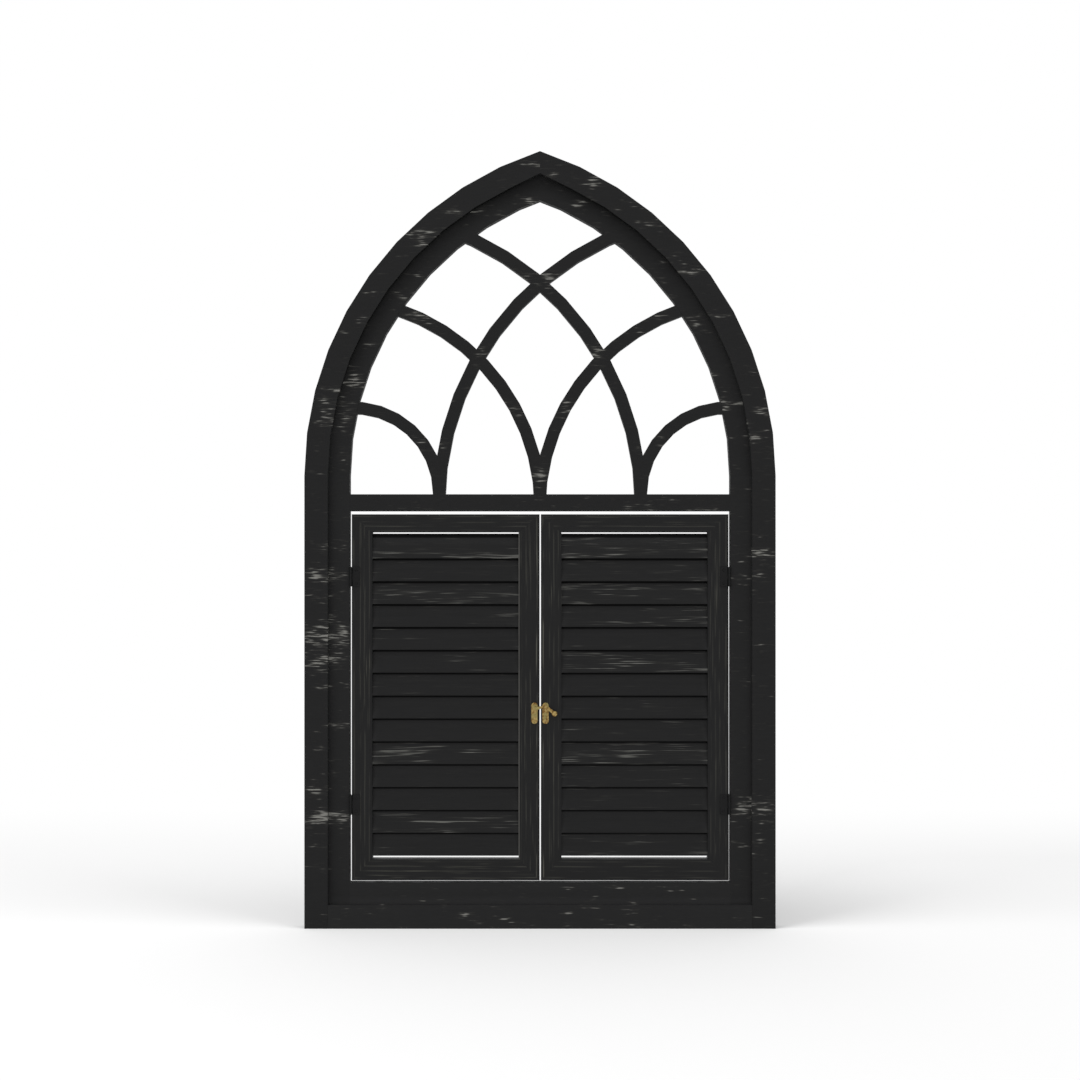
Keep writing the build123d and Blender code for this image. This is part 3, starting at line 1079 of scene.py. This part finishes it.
@dataclass
class OuterFrame:
    """The boards, casings, bottom rail and transom of the fixed frame. All sizes are in metres.

    Attributes:
        arch_centre: X and Z of the centre of the arc that the left arch casing's inner edge follows, with X
            turned for the side.
        arch_radius: The radius of that arc.
        arch_rise: The heights between which the painted shade beside the arch casings comes in, by side.
        shade_width: How wide the strip of painted shade on an arch board is.
        wall_reach: How far outside the arc the painted shade on a casing's side starts and ends.
        point_rise: How far the inner point of the arch casings is raised.
        point_depth: How far below the top the corners lie that belong to the inner point.
        foot_reach: How far the strip of painted light reaches below and above the bottom casing's top edge.
        side_reach: How far the strip of painted light on the right jamb reaches inside and outside its casing's
            edge.
    """

    arch_centre: Span = (136.4 * MM, 557.7 * MM)
    arch_radius: float = 411.0 * MM
    arch_rise: Tuple[Tuple[Side, Span], ...] = (
        (Side.LEFT, (590 * MM, 740 * MM)), (Side.RIGHT, (730 * MM, 930 * MM)),
    )
    shade_width: float = 26 * MM
    wall_reach: Span = (0.3 * MM, 1.3 * MM)
    point_rise: float = 3.7 * MM
    point_depth: float = 10 * MM
    foot_reach: Span = (8 * MM, 13 * MM)
    side_reach: Span = (13 * MM, 8 * MM)

    def finishes(self) -> Dict[str, bpy.types.Material]:
        """Make each board's paint.

        Returns:
            The material by CAD node.
        """
        casing_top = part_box("bottom_casing")[1][2]
        casing_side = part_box("right_casing")[0][0]
        # Painted light above the bottom casing and beside the right casing; painted shade beside the arch
        # casings and on their inner sides
        foot = Rim(casing_top - self.foot_reach[0], casing_top + self.foot_reach[1], (2.5, 1.0))
        inside, outside = self.side_reach
        edge = Rim(casing_side - inside, casing_side + outside, (1.0, 1.40), Grain.ALONG_Z)
        shade, wall = {}, {}
        for side, rise in self.arch_rise:
            arc = {"centre": (-side.value * self.arch_centre[0], self.arch_centre[1]), "rise": rise}
            shade[side] = Rim(self.arch_radius - self.shade_width, self.arch_radius, (1.0, 0.55), **arc)
            start, end = (self.arch_radius + reach for reach in self.wall_reach)
            wall[side] = Rim(start, end, (0.25, 1.0), **arc)
        # By node: the patches, the pattern's shift, the painted light, the rims of painted light and shade, and
        # the casing side's painted shade
        worn = {
            "left_jamb": (LEFT_JAMB_SCUFFS, 1.3, 1.06, (foot,)),
            "left_casing": (LEFT_JAMB_SCUFFS, 7.9, 1.0),
            "right_jamb": (RIGHT_JAMB_SCUFFS, 3.7, 1.06, (foot, edge)),
            "right_casing": (RIGHT_JAMB_SCUFFS, 9.1, 1.0),
            "left_arch_board": (LEFT_ARCH_SCUFFS, 4.4, 1.02, (shade[Side.LEFT],)),
            "left_arch_casing": (LEFT_ARCH_CASING_SCUFFS, 11.2, 1.0, (), wall[Side.LEFT]),
            "right_arch_board": (RIGHT_ARCH_SCUFFS, 5.8, 1.02, (shade[Side.RIGHT],)),
            "right_arch_casing": (RIGHT_ARCH_CASING_SCUFFS, 12.6, 1.0, (), wall[Side.RIGHT]),
            "transom": (TRANSOM_SCUFFS, 6.5, 1.0),
            "bottom_rail": (BOTTOM_SCUFFS, 2.9, 1.24, (foot,)),
            "bottom_casing": (BOTTOM_SCUFFS, 8.3, 1.24),
        }
        return {node: RubbedPaint(node + "_paint", *given).material() for node, given in worn.items()}

    def build(self) -> None:
        """Make and dress every board of the frame."""
        for node, paint in self.finishes().items():
            adjust = self.raise_point if node.endswith("arch_casing") else None
            Part(node, Body.FRAME, Slot.FRAME_WOOD, (paint,), adjust=adjust).build(FRAME_WOOD_NODES)

    def raise_point(self, mesh: bpy.types.Mesh) -> None:
        """Raise the inner point of an arch casing.

        Args:
            mesh: The casing's mesh.
        """
        top = max(vertex.co.z for vertex in mesh.vertices)
        for vertex in mesh.vertices:
            if abs(vertex.co.x) < ON_LINE and vertex.co.z < top - self.point_depth:
                vertex.co.z += self.point_rise


@dataclass
class Tracery:
    """The crossing bars in the pointed head.

    Attributes:
        seed: Shifts the pattern of its wear.
    """

    seed: float = 21.4

    def build(self) -> None:
        """Make and dress the bars."""
        paint = RubbedPaint("tracery_paint", TRACERY_SCUFFS, self.seed).material()
        Part("tracery", Body.FRAME, Slot.TRACERY_WOOD, (paint,)).build(FRAME_WOOD_NODES)


@dataclass(frozen=True)
class SlatWear:
    """How one louvre is worn.

    Attributes:
        level: The amount, from 0 for clean to 1 for the most.
        pattern: The number of its pattern; slats that share one look alike.
    """

    level: float
    pattern: int


# From the bottom slat up: level, pattern
LEFT_SLATS = tuple(SlatWear(*values) for values in (
    (0.15, 1), (0.65, 2), (0.3, 3), (0.3, 3), (0.75, 4), (0.3, 3), (0.3, 3),
    (0.2, 5), (0.5, 6), (0.3, 7), (0.35, 8), (0.85, 9), (0.2, 5), (0.8, 10),
))
RIGHT_SLATS = tuple(SlatWear(*values) for values in (
    (0.6, 11), (0.25, 12), (0.25, 13), (0.55, 14), (1.0, 15), (0.3, 16), (0.4, 17),
    (0.0, 18), (0.85, 19), (0.2, 20), (0.9, 21), (0.95, 22), (0.75, 23), (0.95, 24),
))


@dataclass
class ShutterLeaf:
    """One side-hung leaf: four mitred members round a stack of tilted louvres.

    Sizes are in metres where nothing else is said.

    Attributes:
        side: The side it hangs on.
        slats: The wear of its louvres from the bottom up.
        louvre_paint: The finish of the louvres.
        member_seed: Shifts the pattern of its members.
        member_step: The shift from one member's pattern to the next one's.
        meeting_line: The strength of the light line beside the outer edge of the meeting stile.
        member_line: The strength of that line on the other members.
        arris_wear: The wear on the members' rounded edges.
        rounding: The width of those edges, in millimetres.
        stile_growth: How far the stiles reach past their CAD solids on the inside.
        hinge_growth: How far the right hinge stile does on the outside, at its foot and at its top.
        meeting_growth: How far the left meeting stile does towards the other leaf.
        foot_growth: How far the bottom rail does downwards.
        slat_width: The width of a louvre's CAD solid.
        slat_overlap: How much wider the louvre is drawn.
        slat_thickness: The thickness of a louvre.
        slat_arris: The radius of its edges.
        slat_tilt: Its tilt, in degrees.
        pattern_step: The shift from one pattern of wear to the next.
    """

    side: Side
    slats: Tuple[SlatWear, ...]
    louvre_paint: bpy.types.Material
    member_seed: float
    member_step: float = 1.9
    meeting_line: float = 2.5
    member_line: float = 1.0
    arris_wear: float = 0.14
    rounding: float = 0.3
    stile_growth: float = 1.3 * MM
    hinge_growth: Span = (0.8 * MM, 0.3 * MM)
    meeting_growth: float = 0.6 * MM
    foot_growth: float = 0.3 * MM
    slat_width: float = 32.0 * MM
    slat_overlap: float = 1.2 * MM
    slat_thickness: float = 5.0 * MM
    slat_arris: float = 0.8 * MM
    slat_tilt: float = 14.0
    pattern_step: float = 2.37

    @property
    def body(self) -> Body:
        """The leaf's own body."""
        return Body.leaf(self.side)

    def members(self) -> Dict[str, Tuple[Grain, float, float]]:
        """Find where each member lies across its grain.

        Returns:
            By CAD node: the grain, the outer edge and the signed width, in metres.
        """
        word, sign = self.side.word, self.side.value
        ends = ("_hinge_stile", "_meeting_stile", "_leaf_top_rail", "_leaf_bottom_rail")
        names = [word + end for end in ends]
        hinge, meeting, top, bottom = (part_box(name) for name in names)
        hinge_edge = hinge[1].x if sign > 0 else hinge[0].x
        meeting_edge = meeting[0].x if sign > 0 else meeting[1].x
        width = hinge[1].x - hinge[0].x
        return {
            names[0]: (Grain.ALONG_Z, hinge_edge, -sign * width),
            names[1]: (Grain.ALONG_Z, meeting_edge, sign * width),
            names[2]: (Grain.ALONG_X, top[1].z, top[0].z - top[1].z),
            names[3]: (Grain.ALONG_X, bottom[0].z, bottom[1].z - bottom[0].z),
        }

    def build_members(self) -> None:
        """Make and dress the stiles and rails."""
        members = self.members()
        near = list(members)
        for index, (node, (grain, edge, width)) in enumerate(members.items()):
            seed = self.member_seed + self.member_step * index
            meets = "meeting" in node
            outer = self.meeting_line if meets else self.member_line
            inner = 1.0 if meets and self.side is Side.LEFT else 0.0
            face, arris = (
                StreakedPaint(node + ending, grain, edge, width, seed, outer, wear, inner).material()
                for ending, wear in (("_paint", 0.0), ("_arris", self.arris_wear))
            )
            Part(node, self.body, Slot.LEAF_WOOD, (face, arris), self.rounding, self.trim).build(near)

    def trim(self, mesh: bpy.types.Mesh) -> None:
        """Bring the members' edges to the lines that show from the front.

        The stiles grow inwards and the bottom rail downwards. The right hinge stile also grows outwards, more
        at its foot, where the leaf hangs nearer its jamb, and the left meeting stile towards the other leaf.

        Args:
            mesh: A member's mesh.
        """
        low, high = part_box(self.side.word + "_hinge_stile")
        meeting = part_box(self.side.word + "_meeting_stile")
        width = high.x - low.x
        outer = max(abs(low.x), abs(high.x))
        meeting_edge = min(abs(meeting[0].x), abs(meeting[1].x))
        inside = ((outer - width, -self.stile_growth), (meeting_edge + width, self.stile_growth))
        for vertex in mesh.vertices:
            place, reach = vertex.co, abs(vertex.co.x)
            for line, growth in inside:
                if abs(reach - line) < ON_LINE:
                    place.x += self.side.value * growth
            if self.side is Side.RIGHT and abs(reach - outer) < ON_LINE:
                share = (place.z - low.z) / (high.z - low.z)
                place.x += (1 - share) * self.hinge_growth[0] + share * self.hinge_growth[1]
            if self.side is Side.LEFT and abs(reach - meeting_edge) < ON_LINE:
                place.x += self.meeting_growth
            if abs(place.z - low.z) < ON_LINE:
                place.z -= self.foot_growth

    def build_louvres(self, tree: GeometryTree) -> None:
        """Stack and dress the louvres.

        Args:
            tree: The tree that makes them.
        """
        node = self.side.word + "_louvres"
        low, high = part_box(node)
        tilt, count = radians(self.slat_tilt), len(self.slats)
        rise = self.slat_width * cos(tilt) + (self.slat_thickness - 2 * self.slat_arris) * sin(tilt)
        values = {
            "Half Length": (high.x - low.x) / 2, "Width": self.slat_width + self.slat_overlap,
            "Thickness": self.slat_thickness, "Arris": self.slat_arris, "Tilt": -tilt, "Count": count,
            "Pitch": (high.z - low.z - rise) / (count - 1),
            "Start": ((low.x + high.x) / 2, (low.y + high.y) / 2, low.z + rise / 2),
        }
        piece = tree.make(node + "_piece", [(0, 0, 0)], self.louvre_paint, **values)
        self.mark_wear(piece.data)
        settle(piece, self.body, (node,))
        LOG.info("%s: %d slats, %d faces", piece.name, count, len(piece.data.polygons))

    def mark_wear(self, mesh: bpy.types.Mesh) -> None:
        """Write each slat's wear and pattern onto its points.

        Args:
            mesh: The stacked slats.
        """
        slats = [self.slats[item.value] for item in mesh.attributes["slat_index"].data]
        for name, values in (("slat_wear", [slat.level for slat in slats]),
                             ("slat_seed", [self.pattern_step * slat.pattern for slat in slats])):
            mesh.attributes.new(name, "FLOAT", "POINT").data.foreach_set("value", values)


@dataclass
class Hinges:
    """The two black butt hinges of one leaf. Sizes are in metres where nothing else is said.

    Attributes:
        side: The side they are on.
        metal: Their finish.
        rounding: The width of their rounded edges, in millimetres.
        screw_inset: How far the screws are from the stile plate's edge nearest the middle of the window.
        screw_offset: How far they are above and below the hinge's middle.
        screw_plane: Y of the plates' front, where the screws sit.
        screw_radius: The radius of a screw head.
        screw_height: Its height.
        washer_radius: The radius of the washers between the knuckles.
        washer_height: Their thickness.
    """

    side: Side
    metal: bpy.types.Material
    rounding: float = 0.12
    screw_inset: float = 4.6 * MM
    screw_offset: float = 8.6 * MM
    screw_plane: float = -16.0 * MM
    screw_radius: float = 1.9 * MM
    screw_height: float = 0.5 * MM
    washer_radius: float = 1.7 * MM
    washer_height: float = 0.19 * MM

    def build(self, screws: GeometryTree) -> None:
        """Make and dress the plates, pins and screws.

        Args:
            screws: The tree that makes the screw heads.
        """
        word = self.side.word
        heads = []
        ends = (("jamb_plate", Body.FRAME), ("stile_plate", Body.leaf(self.side)), ("pin", Body.FRAME))
        for place in ("upper", "lower"):
            stem = word + "_" + place + "_hinge_"
            for end, body in ends:
                Part(stem + end, body, Slot.HINGE_METAL, (self.metal,), self.rounding).build((), smooth=True)
            low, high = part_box(stem + "stile_plate")
            x = self.side.value * (min(abs(low.x), abs(high.x)) + self.screw_inset)
            middle = (low.z + high.z) / 2
            heads.extend((x, self.screw_plane, middle + sign * self.screw_offset) for sign in (-1, 1))
        piece = screws.make(word + "_hinge_screws", heads, self.metal, Radius=self.screw_radius,
                            Height=self.screw_height, Seed=3 + self.side.value)
        settle(piece, Body.leaf(self.side))
        LOG.info("%s: %d heads", piece.name, len(heads))
        self.build_washers()

    def build_washers(self) -> None:
        """Fill the two hairline gaps between the knuckles of each hinge with a thin washer."""
        shape = bmesh.new()
        for place in ("upper", "lower"):
            low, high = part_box(self.side.word + "_" + place + "_hinge_pin")
            middle = (low + high) / 2
            for offset in (-1, 1):
                at = Matrix.Translation(middle + Vector((0, 0, offset * (high.z - low.z) / 6)))
                bmesh.ops.create_cone(shape, cap_ends=True, segments=ROUND_FACETS, radius1=self.washer_radius,
                                      radius2=self.washer_radius, depth=self.washer_height, matrix=at)
        mesh = bpy.data.meshes.new(self.side.word + "_hinge_washers")
        shape.to_mesh(mesh)
        shape.free()
        mesh.materials.append(self.metal)
        piece = linked(mesh.name, mesh)
        settle(piece, Body.FRAME)
        LOG.info("%s: %d faces", piece.name, len(mesh.polygons))


@dataclass
class HookLatch:
    """The brass hook latch over the meeting stiles. Sizes are in metres where nothing else is said.

    Attributes:
        brass: Its finish.
        hook_rounding: The width of the hook's rounded edges, in millimetres.
        rounding: That of the other pieces' rounded edges.
        screw_rise: How far a plate's screw is above the plate's foot.
        screw_radius: The radius of a screw head.
        screw_height: Its height.
        arm_start: Where the hook's arm starts; it runs from here to the left.
        arm_growth: How much stouter each of the arm's sides is than its CAD solid.
    """

    brass: bpy.types.Material
    hook_rounding: float = 0.4
    rounding: float = 0.25
    screw_rise: float = 4.6 * MM
    screw_radius: float = 2.1 * MM
    screw_height: float = 0.8 * MM
    arm_start: float = 4.2 * MM
    arm_growth: float = 0.8 * MM

    def build(self, screws: GeometryTree) -> None:
        """Make and dress the plates, stud, rivet, hook and screws.

        Args:
            screws: The tree that makes the screw heads.
        """
        for node, body in (("keeper_plate", Body.LEFT_LEAF), ("keeper_stud", Body.LEFT_LEAF),
                           ("latch_plate", Body.RIGHT_LEAF), ("latch_rivet", Body.RIGHT_LEAF),
                           ("latch_hook", Body.HOOK)):
            part = Part(node, body, Slot.ANTIQUE_BRASS, (self.brass,), self.rounding)
            if body is Body.HOOK:
                part.rounding, part.adjust = self.hook_rounding, self.thicken_arm
            part.build((), smooth=True, segments=3)
        for node, body in (("keeper_plate", Body.LEFT_LEAF), ("latch_plate", Body.RIGHT_LEAF)):
            low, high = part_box(node)
            head = ((low.x + high.x) / 2, low.y, low.z + self.screw_rise)
            piece = screws.make(node + "_screw", [head], self.brass, Radius=self.screw_radius,
                                Height=self.screw_height, Seed=5)
            settle(piece, body)
            LOG.info("%s: 1 head", piece.name)

    def thicken_arm(self, mesh: bpy.types.Mesh) -> None:
        """Make the arm that crosses the gap a little stouter.

        Args:
            mesh: The hook's mesh.
        """
        shape = bmesh.new()
        shape.from_mesh(mesh)
        moves = []
        for vertex in shape.verts:
            walls = [face.normal for face in vertex.link_faces if abs(face.normal.y) < 0.5]
            if vertex.co.x < self.arm_start and walls:
                moves.append((vertex, sum(walls, Vector()).normalized() * self.arm_growth))
        for vertex, move in moves:
            vertex.co += move
        shape.to_mesh(mesh)
        shape.free()


@dataclass(frozen=True)
class SoftLight:
    """A soft square light that faces the window.

    Attributes:
        name: The light's name.
        place: Where it hangs, in metres.
        power: Its power, in watts.
        size: The length of its side, in metres.
    """

    name: str
    place: Tuple[float, float, float]
    power: float
    size: float = 1.6

    def hang(self, target: Sequence[float]) -> None:
        """Hang it in the scene.

        Args:
            target: The point that it faces.
        """
        lamp = bpy.data.lights.new(self.name, "AREA")
        lamp.shape = "SQUARE"
        lamp.size = self.size
        lamp.energy = self.power
        light = linked(self.name, lamp)
        light.location = self.place
        light.rotation_euler = (Vector(target) - Vector(self.place)).to_track_quat("-Z", "Y").to_euler()
        light.visible_glossy = False


@dataclass
class Studio:
    """The pale floor, the white surroundings, the soft lights and the camera. Lengths are in metres.

    Attributes:
        floor_z: The height of the floor.
        floor_half: Half the floor's width and depth.
        paper: The floor's grey.
        fade_behind: Where along Y the floor behind the window starts to turn white and where it is white.
        fade_before: Where it is white before the window and where that ends.
        fade_beside: How far to each side it starts to turn white and where it is white.
        fade_right: Where along X the painted light that lifts the floor right of the window starts and where it
            is full.
        fade_right_share: How far that painted light takes the floor on the way to white.
        ambient: The strength of the surroundings as a light.
        lights: The lights.
        light_target: The point that they face.
        camera_place: Where the camera stands, level with the middle of the window.
        lens: The camera's focal length, in millimetres.
        sensor: The width of its sensor, in millimetres.
    """

    floor_z: float
    floor_half: float = 14.0
    paper: Colour = (0.80, 0.80, 0.80)
    fade_behind: Span = (0.10, 1.05)
    fade_before: Span = (-2.8, -1.0)
    fade_beside: Span = (1.3, 2.8)
    fade_right: Span = (0.30, 0.62)
    fade_right_share: float = 0.38
    ambient: float = 0.65
    lights: Tuple[SoftLight, ...] = (
        SoftLight("key", (-1.6, -0.9, 2.9), 56.0), SoftLight("fill", (1.6, -0.9, 2.9), 34.0),
    )
    light_target: Tuple[float, float, float] = (0.0, 0.0, 0.4)
    camera_place: Tuple[float, float, float] = (0.0, -2.323, 0.4741)
    lens: float = 59.25
    sensor: float = 36.0

    def floor_paint(self) -> bpy.types.Material:
        """Make the floor's paper, which fades to white away from the window and has painted light right of it.

        Returns:
            The material.
        """
        tree = ShaderTree("floor_paper")
        x, y, _ = tree.split(tree.place())
        behind, before = tree.smooth(y, *self.fade_behind), tree.smooth(y, *self.fade_before, 1.0, 0.0)
        beside = tree.smooth(tree.maths("ABSOLUTE", x), *self.fade_beside)
        # Painted light: the floor right of the window is lifted part way to white
        right = tree.smooth(x, *self.fade_right, 0.0, self.fade_right_share)
        fade: Value = right
        for other in (behind, before, beside):
            fade = tree.maths("MAXIMUM", fade, other)
        seen = tree.add("ShaderNodeLightPath").outputs["Is Camera Ray"]
        paper = tree.add("ShaderNodeBsdfDiffuse", self.paper)
        white = tree.add("ShaderNodeEmission")
        share = tree.maths("MULTIPLY", fade, seen)
        mixed = tree.add("ShaderNodeMixShader", share, paper.outputs[0], white.outputs[0])
        tree.feed(tree.output.inputs["Surface"], mixed.outputs[0])
        return tree.material

    def build_floor(self) -> None:
        """Lay a wide pale floor."""
        mesh = bpy.data.meshes.new("floor")
        corners = [(-1, -1), (1, -1), (1, 1), (-1, 1)]
        points = [(self.floor_half * x, self.floor_half * y, self.floor_z) for x, y in corners]
        mesh.from_pydata(points, [], [(0, 1, 2, 3)])
        floor = linked("floor", mesh)
        mesh.materials.append(self.floor_paint())

    def build_world(self) -> None:
        """Surround the scene with white that lights it only softly."""
        world = bpy.data.worlds.new("surroundings")
        world.use_nodes = True
        tree = NodeTree(world.node_tree)
        tree.nodes.clear()
        rays = tree.add("ShaderNodeLightPath").outputs
        seen = rays["Is Camera Ray"]
        for name in ("Is Glossy Ray", "Is Transmission Ray"):
            seen = tree.maths("MAXIMUM", seen, rays[name])
        strength = tree.add("ShaderNodeMapRange", seen, 0.0, 1.0, self.ambient, 1.0).outputs[0]
        background = tree.add("ShaderNodeBackground", (1, 1, 1, 1), strength)
        tree.add("ShaderNodeOutputWorld", background.outputs[0])
        bpy.context.scene.world = world

    def build_camera(self) -> None:
        """Look straight at the window from a little over two metres, level with its middle."""
        lens = bpy.data.cameras.new("camera")
        lens.lens = self.lens
        lens.sensor_width = self.sensor
        lens.dof.use_dof = False
        camera = linked("camera", lens)
        camera.location = self.camera_place
        camera.rotation_euler = (pi / 2, 0.0, 0.0)
        bpy.context.scene.camera = camera

    def build(self) -> None:
        """Set up the floor, the surroundings, the lights and the camera."""
        self.build_floor()
        self.build_world()
        for light in self.lights:
            light.hang(self.light_target)
        self.build_camera()
        bpy.context.scene.view_settings.view_transform = "Standard"


def main() -> None:
    """Build the window and the studio, one assembly after the other."""
    logging.basicConfig(level=logging.INFO, format="%(name)s: %(message)s")
    slats, screws = slat_tree(), screw_tree()
    OuterFrame().build()
    Tracery().build()
    louvre_paint = SlatPaint("louvre_paint", half_length=96.3 * MM).material()
    metal = BlackMetal("hinge_black").material()
    for side, wear, seed in ((Side.LEFT, LEFT_SLATS, 31.0), (Side.RIGHT, RIGHT_SLATS, 47.0)):
        leaf = ShutterLeaf(side, wear, louvre_paint, member_seed=seed)
        leaf.build_members()
        leaf.build_louvres(slats)
        Hinges(side, metal).build(screws)
    HookLatch(AntiqueBrass("latch_brass").material()).build(screws)
    Studio(CAD_BOX[0].z).build()


if __name__ == "__main__":
    main()
